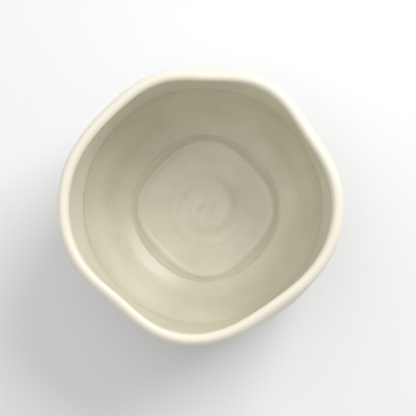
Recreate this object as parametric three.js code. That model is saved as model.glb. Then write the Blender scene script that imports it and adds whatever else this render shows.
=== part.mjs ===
// Hand-pressed stoneware tea bowl: thrown clay body, liner glaze and dip glaze.
// Millimetres, +Z up, the foot stands on z = 0 and the axis of the wheel is the Z axis.

import * as THREE from 'three';

// Driving dimensions of the thrown clay, as radius and height
const BOWL_HEIGHT = 75;
const LIP_RADIUS = 60.6;
const LIP_THICKNESS = 2.8;
const BELLY_RADIUS = 59.2;
const BELLY_HEIGHT = 44;
const WAIST_RADIUS = 50;
const WAIST_HEIGHT = 19;
const WALL_AT_BELLY = 4.2;
const HIP_FULLNESS = 3;
const HIP_RISE = 3.2;
const LOWER_BELLY_DRAW = 1.6;
const LOWER_BELLY_RISE = 1;
const FOOT_RADIUS = 27;
const FOOT_HEIGHT = 7.5;
const FOOT_RING_WIDTH = 5;
const FOOT_CHAMFER = 1;
const RECESS_DEPTH = 6;
const RECESS_CORNER = 1.5;
const BOSS_HEIGHT = 1;
const BOSS_TOP_RADIUS = 3;
const BOSS_SLOPE = 0.2;
const BOSS_RADIUS = 8;
const FLOOR_THICKNESS = 6;

// Inside of the bowl: the mirror disc, its groove and the lower wall
const MIRROR_RADIUS = 31;
const GROOVE_WIDTH = 4.5;
const GROOVE_DEPTH = 0.9;
const LOWER_WALL_RADIUS = 44;
const LOWER_WALL_RISE = 9;
const CURVE_SPREAD = 6;
const CURVE_RISE = 7;
const MIDDLE_WALL_FULLNESS = 1.2;
const MIDDLE_WALL_DROP = 4;
const UPPER_WALL_HEIGHT = 57;
const UPPER_WALL_THINNING = 0.6;

// Glaze coats, laid on the clay
const GLAZE_SEAT = 0.3; // gap between the clay and either coat
const LINER_THICKNESS = 0.7;
const DIP_THICKNESS = 0.9;
const COAT_LINE_HEIGHT = 51;
const DIP_LINE_HEIGHT = 15;

// Five presses of the hand that make the mouth five-sided: direction, depth, half width
const PRESSES = [
  { at: 33, depth: 3.8, spread: 20 },
  { at: 87, depth: 4.0, spread: 19 },
  { at: 134, depth: 3.6, spread: 25 },
  { at: 229, depth: 4.6, spread: 21 },
  { at: 305, depth: 6.2, spread: 29 },
];
const PRESS_START_HEIGHT = 28;
const PRESS_GROWTH = 2;

// The throwing spiral on the mirror disc and its soft four-cornered edge
const SPIRAL_PITCH = 11;
const SPIRAL_REACH = 19;
const SPIRAL_RELIEF = 0.5;
const MIRROR_CORNERS = 4;
const CORNER_RELIEF = 0.9;

const SECTORS = 48;
const WALL_STEPS = 12;
const LIP_STEPS = 5;
const FLOOR_STEPS = 12;

const FLOOR_HEIGHT = RECESS_DEPTH + FLOOR_THICKNESS;

function curveThrough(points, steps) {
  return new THREE.SplineCurve(points.map(([r, z]) => new THREE.Vector2(r, z))).getPoints(steps);
}

// Outside of the wall, from the top of the foot ring to the start of the lip
function outsideWall() {
  return curveThrough([
    [FOOT_RADIUS, FOOT_HEIGHT],
    [(FOOT_RADIUS + WAIST_RADIUS) / 2 + HIP_FULLNESS, FOOT_HEIGHT + HIP_RISE],
    [WAIST_RADIUS, WAIST_HEIGHT],
    [BELLY_RADIUS - LOWER_BELLY_DRAW, (WAIST_HEIGHT + BELLY_HEIGHT) / 2 + LOWER_BELLY_RISE],
    [BELLY_RADIUS, BELLY_HEIGHT],
    [LIP_RADIUS, BOWL_HEIGHT - LIP_THICKNESS / 2],
  ], WALL_STEPS);
}

// Half-round lip from the outside over the crest to the inside
function lip() {
  const radius = LIP_THICKNESS / 2;
  const points = [];
  for (let i = 1; i < LIP_STEPS; i += 1) {
    const turn = (Math.PI * i) / LIP_STEPS;
    const r = LIP_RADIUS - radius + radius * Math.cos(turn);
    points.push(new THREE.Vector2(r, BOWL_HEIGHT - radius + radius * Math.sin(turn)));
  }
  return points;
}

// Inside of the wall, from the lip down to the groove round the mirror disc
function insideWall() {
  const grooveRadius = MIRROR_RADIUS + GROOVE_WIDTH;
  return curveThrough([
    [LIP_RADIUS - LIP_THICKNESS, BOWL_HEIGHT - LIP_THICKNESS / 2],
    [BELLY_RADIUS - WALL_AT_BELLY + UPPER_WALL_THINNING, UPPER_WALL_HEIGHT],
    [BELLY_RADIUS - WALL_AT_BELLY - MIDDLE_WALL_FULLNESS, BELLY_HEIGHT - MIDDLE_WALL_DROP],
    [LOWER_WALL_RADIUS + CURVE_SPREAD, FLOOR_HEIGHT + LOWER_WALL_RISE + CURVE_RISE],
    [LOWER_WALL_RADIUS, FLOOR_HEIGHT + LOWER_WALL_RISE / 2],
    [grooveRadius, FLOOR_HEIGHT - GROOVE_DEPTH],
  ], WALL_STEPS);
}

// The mirror disc, from its edge to the axis
function mirrorDisc() {
  const points = [];
  for (let i = 0; i <= FLOOR_STEPS; i += 1) {
    const r = MIRROR_RADIUS * (1 - i / FLOOR_STEPS);
    points.push(new THREE.Vector2(r, FLOOR_HEIGHT));
  }
  return points;
}

// Underside, from the axis over the turned recess and round the foot ring
function underside() {
  const inner = FOOT_RADIUS - FOOT_RING_WIDTH;
  return [
    new THREE.Vector2(0, RECESS_DEPTH - BOSS_HEIGHT),
    new THREE.Vector2(BOSS_TOP_RADIUS, RECESS_DEPTH - BOSS_HEIGHT + BOSS_SLOPE),
    new THREE.Vector2(BOSS_RADIUS, RECESS_DEPTH),
    new THREE.Vector2(inner - RECESS_CORNER, RECESS_DEPTH),
    new THREE.Vector2(inner, RECESS_DEPTH - RECESS_CORNER),
    new THREE.Vector2(inner + FOOT_CHAMFER / 2, 0),
    new THREE.Vector2(FOOT_RADIUS - FOOT_CHAMFER, 0),
    new THREE.Vector2(FOOT_RADIUS, FOOT_CHAMFER),
  ];
}

// The clay surface moved outwards along its normal
function offset(points, distance) {
  return points.map((point, i) => {
    const before = points[Math.max(i - 1, 0)];
    const after = points[Math.min(i + 1, points.length - 1)];
    const along = after.clone().sub(before).normalize();
    const r = point.x < 1e-6 ? 0 : point.x + along.y * distance;
    return new THREE.Vector2(r, point.y - along.x * distance);
  });
}

// A glaze coat: its face against the clay, seated with a small gap, and its outer face
function coat(points, thickness) {
  const inner = offset(points, GLAZE_SEAT);
  const outer = offset(points, GLAZE_SEAT + thickness);
  return { inner, outer };
}

// Radial move of a point by the five presses, growing from the belly to the lip
function pressDepth(angle, height) {
  const reach = Math.max(0, (height - PRESS_START_HEIGHT) / (BOWL_HEIGHT - PRESS_START_HEIGHT));
  let depth = 0;
  for (const press of PRESSES) {
    const gap = Math.atan2(
      Math.sin(angle - THREE.MathUtils.degToRad(press.at)),
      Math.cos(angle - THREE.MathUtils.degToRad(press.at)),
    );
    depth += press.depth * Math.exp(-((gap / THREE.MathUtils.degToRad(press.spread)) ** 2));
  }
  return depth * reach ** PRESS_GROWTH;
}

// Height of the spiral ridge at a place on the mirror disc
function spiralRidge(radius, angle) {
  const turns = radius / SPIRAL_PITCH - angle / (2 * Math.PI);
  const fade = Math.max(0, 1 - (radius / SPIRAL_REACH) ** 4);
  const rise = Math.min(1, radius / (SPIRAL_PITCH / 4));
  return SPIRAL_RELIEF * fade * rise * (0.5 + 0.5 * Math.cos(2 * Math.PI * turns));
}

// Turns a profile on the wheel, then presses the mouth and raises the spiral
function thrown(profile) {
  const geometry = new THREE.LatheGeometry(profile, SECTORS);
  geometry.rotateX(Math.PI / 2);
  const position = geometry.attributes.position;
  for (let i = 0; i < position.count; i += 1) {
    const x = position.getX(i);
    const y = position.getY(i);
    const z = position.getZ(i);
    const radius = Math.hypot(x, y);
    const angle = Math.atan2(y, x);
    const inside = z > RECESS_DEPTH + FLOOR_THICKNESS / 3 && z < FLOOR_HEIGHT + LOWER_WALL_RISE;
    const edge = inside ? Math.exp(-(((radius - MIRROR_RADIUS) / GROOVE_WIDTH) ** 2)) : 0;
    const corner = CORNER_RELIEF * edge * Math.cos(MIRROR_CORNERS * angle);
    const moved = radius - pressDepth(angle, z) + corner;
    const scale = radius > 0 ? moved / radius : 1;
    const lift = inside && radius < SPIRAL_REACH ? spiralRidge(radius, angle) : 0;
    position.setXYZ(i, x * scale, y * scale, z + lift);
  }
  return geometry;
}

function piece(name, profile, colour, roughness) {
  const material = new THREE.MeshStandardMaterial({ color: colour, roughness, metalness: 0 });
  const mesh = new THREE.Mesh(thrown(profile), material);
  mesh.name = name;
  return mesh;
}

const walls = [...outsideWall(), ...lip(), ...insideWall()];
const topSurface = [...walls, ...mirrorDisc()];
const outsideCount = WALL_STEPS + 1;

// The dip coat runs from its line above the foot, over the lip, to its line inside
const dipSurface = topSurface.filter((point, i) => (
  i < outsideCount + LIP_STEPS ? point.y >= DIP_LINE_HEIGHT : point.y >= COAT_LINE_HEIGHT
));
// The liner coat fills the inside below that line
const linerSurface = topSurface.filter((point, i) => (
  i >= outsideCount + LIP_STEPS && point.y < COAT_LINE_HEIGHT
));

const dip = coat(dipSurface, DIP_THICKNESS);
const liner = coat(linerSurface, LINER_THICKNESS);

const bowl = new THREE.Group();
bowl.add(piece('clay_body', [...underside(), ...topSurface], 0xb9a184, 0.85));
bowl.add(piece('dip_glaze', [...dip.outer, ...dip.inner.reverse(), dip.outer[0]], 0xe6e0c8, 0.35));
bowl.add(piece('liner_glaze', [...liner.inner.reverse(), ...liner.outer], 0xcdc9ae, 0.35));

export default bowl;
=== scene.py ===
# %% [markdown]
# A hand-pressed stoneware tea bowl, seen almost from straight above. The construction of the bowl is
# loaded first and stays fixed. A thrown wall is smooth while that construction is faceted, so each
# coat of glaze and the clay under it are made again here, as fine meshes from the same sizes.

# %% Load the fixed frame
import math

import bpy
from mathutils import Matrix, Vector


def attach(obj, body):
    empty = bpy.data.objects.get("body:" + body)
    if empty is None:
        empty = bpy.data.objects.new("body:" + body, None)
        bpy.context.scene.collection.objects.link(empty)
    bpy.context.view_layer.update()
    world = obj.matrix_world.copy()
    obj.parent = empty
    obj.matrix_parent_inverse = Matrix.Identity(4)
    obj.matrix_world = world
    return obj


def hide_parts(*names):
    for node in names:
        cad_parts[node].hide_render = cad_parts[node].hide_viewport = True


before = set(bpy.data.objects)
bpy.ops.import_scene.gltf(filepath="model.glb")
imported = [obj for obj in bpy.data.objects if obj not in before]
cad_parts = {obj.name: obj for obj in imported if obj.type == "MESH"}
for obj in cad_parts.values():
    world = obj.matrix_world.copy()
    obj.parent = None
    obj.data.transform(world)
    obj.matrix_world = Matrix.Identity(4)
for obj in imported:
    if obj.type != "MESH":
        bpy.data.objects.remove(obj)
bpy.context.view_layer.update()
MM = 0.001

# %% [markdown]
# A potter checks a bowl against a template: half of its outline, cut in card. The same template is
# drawn here as radius and height from the axis of the wheel. Only a few points carry each stretch,
# and a spline runs through them, which keeps the form easy to change.

# %% Sizes of the outside of the clay, in millimetres
BOWL_HEIGHT = 75
LIP_RADIUS = 60.6
LIP_THICKNESS = 2.8
BELLY_RADIUS = 59.2
BELLY_HEIGHT = 44
LOWER_BELLY_DRAW = 1.6
LOWER_BELLY_RISE = 1
WAIST_RADIUS = 50
WAIST_HEIGHT = 19
HIP_FULLNESS = 3
HIP_RISE = 3.2
FOOT_RADIUS = 27
FOOT_HEIGHT = 7.5


# %% A smooth curve through a few points
def curve_through(points, steps):
    last = len(points) - 1
    result = []
    for step in range(steps + 1):
        place = last * step / steps
        i = min(int(place), last - 1)
        t = place - i
        picked = [points[max(i - 1, 0)], points[i], points[i + 1], points[min(i + 2, last)]]
        spot = []
        for axis in (0, 1):
            a, b, c, d = (p[axis] for p in picked)
            v0 = (c - a) / 2
            v1 = (d - b) / 2
            spot.append((2 * b - 2 * c + v0 + v1) * t ** 3
                        + (-3 * b + 3 * c - 2 * v0 - v1) * t ** 2 + v0 * t + b)
        result.append(tuple(spot))
    return result


# %% The outside wall and the half-round lip
WALL_STEPS = 90
LIP_STEPS = 14


def outside_wall():
    return curve_through([
        (FOOT_RADIUS, FOOT_HEIGHT),
        ((FOOT_RADIUS + WAIST_RADIUS) / 2 + HIP_FULLNESS, FOOT_HEIGHT + HIP_RISE),
        (WAIST_RADIUS, WAIST_HEIGHT),
        (BELLY_RADIUS - LOWER_BELLY_DRAW, (WAIST_HEIGHT + BELLY_HEIGHT) / 2 + LOWER_BELLY_RISE),
        (BELLY_RADIUS, BELLY_HEIGHT),
        (LIP_RADIUS, BOWL_HEIGHT - LIP_THICKNESS / 2),
    ], WALL_STEPS)


def lip():
    radius = LIP_THICKNESS / 2
    return [(LIP_RADIUS - radius + radius * math.cos(math.pi * i / LIP_STEPS),
             BOWL_HEIGHT - radius + radius * math.sin(math.pi * i / LIP_STEPS))
            for i in range(1, LIP_STEPS)]


outside = outside_wall() + lip()
print("outside of the template:", len(outside), "points")

# %% [markdown]
# Inside, the wall curves down to a shallow groove. Within the groove lies a round flat that potters
# call the mirror, with a thin raised edge. The edge is a narrow bell curve added to the height,
# because a bell curve fades into the flat on both sides without a corner.

# %% Sizes of the inside, in millimetres
WALL_AT_BELLY = 4.2
UPPER_WALL_HEIGHT = 57
UPPER_WALL_THINNING = 0.6
MIDDLE_WALL_FULLNESS = 1.2
MIDDLE_WALL_DROP = 4
LOWER_WALL_RADIUS = 44
LOWER_WALL_RISE = 9
CURVE_SPREAD = 6
CURVE_RISE = 7
MIRROR_RADIUS = 31
GROOVE_WIDTH = 4.5
GROOVE_DEPTH = 0.9
EDGE_RIDGE = 0.5
EDGE_WIDTH = 1.3
RECESS_DEPTH = 6
FLOOR_THICKNESS = 6
FLOOR_HEIGHT = RECESS_DEPTH + FLOOR_THICKNESS
GROOVE_RADIUS = MIRROR_RADIUS + GROOVE_WIDTH


# %% The inside wall, the groove and the mirror
FLOOR_STEPS = 110


def inside_wall():
    return curve_through([
        (LIP_RADIUS - LIP_THICKNESS, BOWL_HEIGHT - LIP_THICKNESS / 2),
        (BELLY_RADIUS - WALL_AT_BELLY + UPPER_WALL_THINNING, UPPER_WALL_HEIGHT),
        (BELLY_RADIUS - WALL_AT_BELLY - MIDDLE_WALL_FULLNESS, BELLY_HEIGHT - MIDDLE_WALL_DROP),
        (LOWER_WALL_RADIUS + CURVE_SPREAD, FLOOR_HEIGHT + LOWER_WALL_RISE + CURVE_RISE),
        (LOWER_WALL_RADIUS, FLOOR_HEIGHT + LOWER_WALL_RISE / 2),
        (GROOVE_RADIUS, FLOOR_HEIGHT - GROOVE_DEPTH),
    ], WALL_STEPS)


def mirror_disc():
    result = []
    for i in range(1, FLOOR_STEPS + 1):
        r = GROOVE_RADIUS * (1 - i / FLOOR_STEPS)
        fall = min(1, max(0, (r - MIRROR_RADIUS) / GROOVE_WIDTH))
        ridge = EDGE_RIDGE * math.exp(-(((r - MIRROR_RADIUS) / EDGE_WIDTH) ** 2))
        result.append((r, FLOOR_HEIGHT - GROOVE_DEPTH * fall * fall * (3 - 2 * fall) + ridge))
    return result


inside = inside_wall() + mirror_disc()
print("inside of the template:", len(inside), "points")

# %% [markdown]
# The foot is turned from the same clay: a ring to stand on, and a recess inside it with a small
# boss left by the turning tool. It has corners, so its outline is a plain list of points.

# %% The underside, from the axis to the outside of the foot ring
FOOT_RING_WIDTH = 5
FOOT_CHAMFER = 1
RECESS_CORNER = 1.5
BOSS_HEIGHT = 1
BOSS_TOP_RADIUS = 3
BOSS_SLOPE = 0.2
BOSS_RADIUS = 8


def underside():
    inner = FOOT_RADIUS - FOOT_RING_WIDTH
    return [(0, RECESS_DEPTH - BOSS_HEIGHT),
            (BOSS_TOP_RADIUS, RECESS_DEPTH - BOSS_HEIGHT + BOSS_SLOPE),
            (BOSS_RADIUS, RECESS_DEPTH),
            (inner - RECESS_CORNER, RECESS_DEPTH),
            (inner, RECESS_DEPTH - RECESS_CORNER),
            (inner + FOOT_CHAMFER / 2, 0),
            (FOOT_RADIUS - FOOT_CHAMFER, 0),
            (FOOT_RADIUS, FOOT_CHAMFER)]


# %% [markdown]
# Glaze is a skin of even thickness. Moving the template outwards along its own normal gives the
# face of the skin, and a second, smaller move gives its back, which lies on the clay.

# %% Move a template outwards
AT_THE_AXIS = 1e-6


def offset(points, distance):
    result = []
    for i, (r, z) in enumerate(points):
        before = points[max(i - 1, 0)]
        after = points[min(i + 1, len(points) - 1)]
        dr, dz = after[0] - before[0], after[1] - before[1]
        length = math.hypot(dr, dz)
        moved = 0 if r < AT_THE_AXIS else r + dz / length * distance
        result.append((moved, z - dr / length * distance))
    return result


# %% [markdown]
# While the clay was soft, five presses of the hand made the round mouth five-sided. Each press is a
# bell curve round the axis, and all of them grow from the belly to the lip. A press could also be a
# lattice or a sculpted dent, but a formula reaches clay and glaze alike, so that they stay together.

# %% The five presses: direction in degrees, depth in millimetres, half width in degrees
PRESSES = [(33, 3.8, 20), (87, 4.0, 19), (134, 3.6, 25), (229, 4.6, 21), (305, 5.6, 29)]
PRESS_START_HEIGHT = 28
PRESS_GROWTH = 2
HALF_TURN = 180
FULL_TURN = 360


def pressed(angle, height):
    reach = max(0, (height - PRESS_START_HEIGHT) / (BOWL_HEIGHT - PRESS_START_HEIGHT))
    depth = 0
    for at, deep, spread in PRESSES:
        gap = (math.degrees(angle) - at + HALF_TURN) % FULL_TURN - HALF_TURN
        depth += deep * math.exp(-((gap / spread) ** 2))
    return depth * reach ** PRESS_GROWTH


# %% [markdown]
# The fingers leave a spiral on the mirror while the wheel turns, and faint rings up the wall. The
# spiral is a cosine of radius and angle together: one turn round the axis moves it out by one pitch.

# %% The throwing spiral
SPIRAL_PITCH = 11
SPIRAL_REACH = 19
SPIRAL_RELIEF = 0.9
SPIRAL_FADE = 4
TURN = 2 * math.pi


def spiral_ridge(radius, angle):
    turns = radius / SPIRAL_PITCH - angle / TURN
    fade = max(0, 1 - (radius / SPIRAL_REACH) ** SPIRAL_FADE)
    rise = min(1, radius / (SPIRAL_PITCH / 4))
    return SPIRAL_RELIEF * fade * rise * (0.5 + 0.5 * math.cos(TURN * turns))


# %% A point of the thrown form after all the handwork, in metres
MIRROR_CORNERS = 4
CORNER_RELIEF = 1.4
RING_PITCH = 5.2
RING_RELIEF = 0.12
RING_FADE_HEIGHT = 6
FLOOR_SKIN = 2


def shaped(r, z, angle):
    on_floor = RECESS_DEPTH + FLOOR_SKIN < z < FLOOR_HEIGHT + LOWER_WALL_RISE
    edge = math.exp(-(((r - MIRROR_RADIUS) / GROOVE_WIDTH) ** 2)) if on_floor else 0
    corner = CORNER_RELIEF * edge * math.cos(MIRROR_CORNERS * angle)
    rings = RING_RELIEF * math.sin(TURN * (z / RING_PITCH + angle / TURN))
    above_floor = min(1, max(0, (z - FLOOR_HEIGHT) / RING_FADE_HEIGHT))
    moved = r - pressed(angle, z) + corner - abs(rings) * above_floor
    lift = spiral_ridge(r, angle) if on_floor and r < SPIRAL_REACH else 0
    return moved * math.cos(angle) * MM, moved * math.sin(angle) * MM, (z + lift) * MM


# %% [markdown]
# A template becomes a body by turning it on the wheel. A Screw modifier could do that, but building
# the rows of points directly lets each point take its handwork on the way, and closes the mesh.

# %% Turn a template into a closed mesh
SECTORS = 288


def thrown(name, profile, closed):
    verts = []
    rows = []
    for r, z in profile:
        if r < AT_THE_AXIS:
            rows.append([len(verts)] * SECTORS)
            verts.append((0, 0, z * MM))
            continue
        rows.append([len(verts) + k for k in range(SECTORS)])
        verts += [shaped(r, z, TURN * k / SECTORS) for k in range(SECTORS)]
    pairs = list(zip(rows, rows[1:]))
    if closed:
        pairs.append((rows[-1], rows[0]))
    faces = []
    for low, high in pairs:
        for k in range(SECTORS):
            n = (k + 1) % SECTORS
            corner = [low[k], low[n], high[n], high[k]]
            face = [v for j, v in enumerate(corner) if v not in corner[:j]]
            if len(face) > 2:
                faces.append(face)
    mesh = bpy.data.meshes.new(name)
    mesh.from_pydata(verts, [], faces)
    mesh.polygons.foreach_set("use_smooth", [True] * len(mesh.polygons))
    piece = bpy.data.objects.new(name, mesh)
    bpy.context.collection.objects.link(piece)
    print(name, len(verts), "points,", len(faces), "faces")
    return piece


# %% [markdown]
# The bowl was glazed twice. A liner coat covers the inside, and a dip coat covers the outside, the
# lip and the top of the inside, down to a line. Its lower edge outside stops above the bare foot.

# %% The two coats of glaze and the clay
GLAZE_SEAT = 0.3
LINER_THICKNESS = 0.7
DIP_THICKNESS = 0.9
COAT_LINE_HEIGHT = 51
DIP_LINE_HEIGHT = 15

dip_path = ([p for p in outside if p[1] >= DIP_LINE_HEIGHT]
            + [p for p in inside if p[1] >= COAT_LINE_HEIGHT])
liner_path = [p for p in inside if p[1] < COAT_LINE_HEIGHT]
dip_coat = thrown("dip_coat", offset(dip_path, GLAZE_SEAT + DIP_THICKNESS)
                  + offset(dip_path, GLAZE_SEAT)[::-1], True)
liner_coat = thrown("liner_coat", offset(liner_path, GLAZE_SEAT)[::-1]
                    + offset(liner_path, GLAZE_SEAT + LINER_THICKNESS), False)
clay = thrown("thrown_clay", underside() + outside + inside, False)

# %% [markdown]
# Fired glaze is never one colour. Soft clouds of noise move it between two tones, and sparse cells
# with a dark middle stand for iron specks that burnt through. A fine bump breaks the highlight up,
# as the skin of a satin glaze does.

# %% A cloudy, speckled ceramic surface
IRON_BROWN = (0.12, 0.07, 0.04, 1)
SPECK_CELLS = 55
SPECK_CORE = 0.025
SPECK_RIM = 0.05
CLOUD_DETAIL = 6
CLOUD_LOW = 0.3
CLOUD_HIGH = 0.7
GRAIN_SCALE = 1400
GRAIN_DETAIL = 3
GRAIN_DEPTH = 0.0003
COAT_ROUGHNESS = 0.3


def clouds(nodes, links, place, low, high, scale):
    cloud = nodes.new("ShaderNodeTexNoise")
    cloud.inputs["Scale"].default_value = scale
    cloud.inputs["Detail"].default_value = CLOUD_DETAIL
    ramp = nodes.new("ShaderNodeValToRGB")
    ramp.color_ramp.elements[0].position = CLOUD_LOW
    ramp.color_ramp.elements[0].color = (*low, 1)
    ramp.color_ramp.elements[1].position = CLOUD_HIGH
    ramp.color_ramp.elements[1].color = (*high, 1)
    links.new(place, cloud.inputs["Vector"])
    links.new(cloud.outputs["Fac"], ramp.inputs["Fac"])
    return ramp.outputs["Color"]


def iron_specks(nodes, links, place, colour):
    iron = nodes.new("ShaderNodeTexVoronoi")
    iron.inputs["Scale"].default_value = SPECK_CELLS
    spot = nodes.new("ShaderNodeMapRange")
    spot.inputs["From Min"].default_value = SPECK_CORE
    spot.inputs["From Max"].default_value = SPECK_RIM
    speckled = nodes.new("ShaderNodeMix")
    speckled.data_type = "RGBA"
    speckled.inputs["A"].default_value = IRON_BROWN
    links.new(place, iron.inputs["Vector"])
    links.new(iron.outputs["Distance"], spot.inputs["Value"])
    links.new(spot.outputs["Result"], speckled.inputs["Factor"])
    links.new(colour, speckled.inputs["B"])
    return speckled.outputs["Result"]


def fine_bump(nodes, links, place, normal, strength):
    grain = nodes.new("ShaderNodeTexNoise")
    grain.inputs["Scale"].default_value = GRAIN_SCALE
    grain.inputs["Detail"].default_value = GRAIN_DETAIL
    relief = nodes.new("ShaderNodeBump")
    relief.inputs["Strength"].default_value = strength
    relief.inputs["Distance"].default_value = GRAIN_DEPTH
    links.new(place, grain.inputs["Vector"])
    links.new(grain.outputs["Fac"], relief.inputs["Height"])
    links.new(relief.outputs["Normal"], normal)


def fired(name, low, high, scale, roughness, bump, coat):
    material = bpy.data.materials.new(name)
    material.use_nodes = True
    nodes, links = material.node_tree.nodes, material.node_tree.links
    shader = nodes["Principled BSDF"]
    shader.inputs["Roughness"].default_value = roughness
    shader.inputs["Coat Weight"].default_value = coat
    shader.inputs["Coat Roughness"].default_value = COAT_ROUGHNESS
    place = nodes.new("ShaderNodeTexCoord").outputs["Object"]
    colour = iron_specks(nodes, links, place, clouds(nodes, links, place, low, high, scale))
    fine_bump(nodes, links, place, shader.inputs["Normal"], bump)
    print(name, "roughness", roughness)
    return material, colour, shader.inputs["Base Color"]


# %% [markdown]
# A tint that grows with height makes the dip glaze paler over the top of the lip: a painted
# highlight for its lit crest. A second one darkens the liner just under the line: painted shade
# under the crease.

# %% A tint that grows with height
def height_tint(material, colour, target, tint, low, high):
    nodes, links = material.node_tree.nodes, material.node_tree.links
    place = nodes.new("ShaderNodeTexCoord")
    split = nodes.new("ShaderNodeSeparateXYZ")
    span = nodes.new("ShaderNodeMapRange")
    span.inputs["From Min"].default_value = low * MM
    span.inputs["From Max"].default_value = high * MM
    mix = nodes.new("ShaderNodeMix")
    mix.data_type = "RGBA"
    links.new(place.outputs["Object"], split.inputs["Vector"])
    links.new(split.outputs["Z"], span.inputs["Value"])
    links.new(span.outputs["Result"], mix.inputs["Factor"])
    links.new(colour, mix.inputs["A"])
    mix.inputs["B"].default_value = (*tint, 1)
    links.new(mix.outputs["Result"], target)


# %% The ivory dip glaze, the liner glaze and the bare stoneware
LIP_HIGHLIGHT_HEIGHTS = (72.5, 75.5)
SHADE_UNDER_LINE_HEIGHTS = (45, 51)
PAINTED_LIP_HIGHLIGHT = (0.86, 0.81, 0.68)
PAINTED_SHADE_UNDER_LINE = (0.60, 0.58, 0.45)

dip_glaze, dip_colour, dip_base = fired(
    "ivory_dip_glaze", (0.68, 0.65, 0.53), (0.78, 0.75, 0.62), 40, 0.38, 0.25, 0.2)
# Painted highlight: the dip glaze turns paler over the top few millimetres of the lip, for its lit
# crest.
height_tint(dip_glaze, dip_colour, dip_base, PAINTED_LIP_HIGHLIGHT, *LIP_HIGHLIGHT_HEIGHTS)
liner_glaze, liner_colour, liner_base = fired(
    "celadon_liner_glaze", (0.63, 0.61, 0.48), (0.74, 0.71, 0.58), 40, 0.36, 0.25, 0.2)
# Painted shade: the liner glaze darkens towards the coat line, in the band where the crease shades
# the wall.
height_tint(liner_glaze, liner_colour, liner_base, PAINTED_SHADE_UNDER_LINE, *SHADE_UNDER_LINE_HEIGHTS)
stoneware, clay_colour, clay_base = fired(
    "bare_stoneware", (0.36, 0.25, 0.16), (0.50, 0.37, 0.25), 300, 0.85, 0.6, 0)
stoneware.node_tree.links.new(clay_colour, clay_base)

# %% [markdown]
# Each fine mesh now takes the place of its piece of the construction. Nothing on a bowl moves, so
# all of them ride on the one body.

# %% Put each piece on the frame
for piece, node, finish, material in (
    (dip_coat, "dip_glaze", "ivory_dip_glaze", dip_glaze),
    (liner_coat, "liner_glaze", "celadon_liner_glaze", liner_glaze),
    (clay, "clay_body", "stoneware_clay", stoneware),
):
    piece.data.materials.append(material)
    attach(piece, "root")
    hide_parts(node)
    print(piece.name, "stands for", node)

# %% [markdown]
# The bowl stands on a plain pale floor. A matt floor keeps the eye on the bowl and gives a soft
# shadow, which shows how high the wall stands.

# %% The floor
FLOOR_COLOUR = (0.86, 0.87, 0.88, 1)
FLOOR_ROUGHNESS = 0.7
FLOOR_SIZE = 4

bpy.ops.mesh.primitive_plane_add(size=FLOOR_SIZE)
floor = bpy.context.object
floor.name = "floor"
pale = bpy.data.materials.new("pale_floor")
pale.use_nodes = True
pale.node_tree.nodes["Principled BSDF"].inputs["Base Color"].default_value = FLOOR_COLOUR
pale.node_tree.nodes["Principled BSDF"].inputs["Roughness"].default_value = FLOOR_ROUGHNESS
floor.data.materials.append(pale)

# %% [markdown]
# The light comes from the upper right, as from a window, with a weaker fill from above. Large area
# lights give the soft edge of the shadow, and a dim white world lifts the dark side.

# %% Soft studio light
LIGHT_AIM = (0, 0, 0.04)
WORLD_STRENGTH = 0.45


def soft_light(name, place, size, power):
    lamp = bpy.data.lights.new(name, "AREA")
    lamp.size = size
    lamp.energy = power
    thing = bpy.data.objects.new(name, lamp)
    bpy.context.collection.objects.link(thing)
    thing.location = place
    towards = Vector(LIGHT_AIM) - thing.location
    thing.rotation_euler = towards.to_track_quat("-Z", "Y").to_euler()
    print(name, power, "W at", place)


soft_light("window", (0.55, 0.6, 0.75), 0.6, 8)
soft_light("fill", (-0.4, 0.2, 1.1), 1.2, 4)
world = bpy.data.worlds.new("studio")
world.use_nodes = True
world.node_tree.nodes["Background"].inputs["Color"].default_value = (1, 1, 1, 1)
world.node_tree.nodes["Background"].inputs["Strength"].default_value = WORLD_STRENGTH
bpy.context.scene.world = world
bpy.context.scene.view_settings.view_transform = "Standard"

# %% [markdown]
# The view is almost straight down, from 45 cm above the rim. Aiming a camera straight down with a
# tracking rule can roll the picture, so its three axes are worked out here: the first stays along X.

# %% The camera
EYE = (0.020, -0.0156, 0.526)
LOOK_AT = (0.0034, -0.0018, 0.076)
LENS = 91.5
SENSOR = 36

eye = bpy.data.cameras.new("photo_view")
eye.lens = LENS
eye.sensor_width = SENSOR
camera = bpy.data.objects.new("photo_view", eye)
bpy.context.collection.objects.link(camera)
camera.location = EYE
back = (camera.location - Vector(LOOK_AT)).normalized()
right = Vector((0, 1, 0)).cross(back).normalized()
camera.rotation_euler = Matrix((right, back.cross(right), back)).transposed().to_euler()
bpy.context.scene.camera = camera
print("camera turned by", [round(math.degrees(a), 1) for a in camera.rotation_euler], "degrees")
